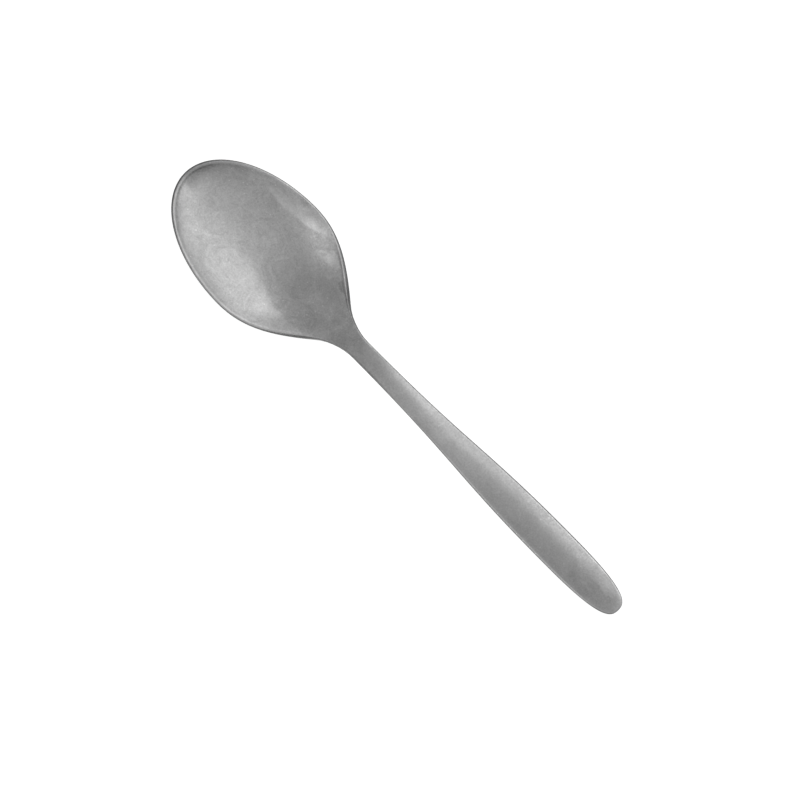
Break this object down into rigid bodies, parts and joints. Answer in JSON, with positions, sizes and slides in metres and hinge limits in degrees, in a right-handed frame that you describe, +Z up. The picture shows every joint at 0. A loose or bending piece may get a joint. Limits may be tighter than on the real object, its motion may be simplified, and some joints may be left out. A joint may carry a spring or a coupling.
{
  "type": "teaspoon",
  "caption": "Plain one-piece pressed teaspoon with an egg-shaped bowl, a slim round-shouldered neck and a softly crowned, arched handle that widens to a blunt rounded end.",
  "frame": {"origin": "on the table that the spoon lies on, under the middle of its length and width", "axes": "+X along the length towards the bowl tip, +Z up out of the bowl, +Y across the bowl"},
  "size_m": [0.1399, 0.0312, 0.0172],
  "materials": {
    "stonewashed_steel": "stonewashed satin: matt grey, finely mottled, with no direction"
  },
  "bodies": {
    "root": {"teaspoon": "stonewashed_steel"}
  },
  "joints": []
}
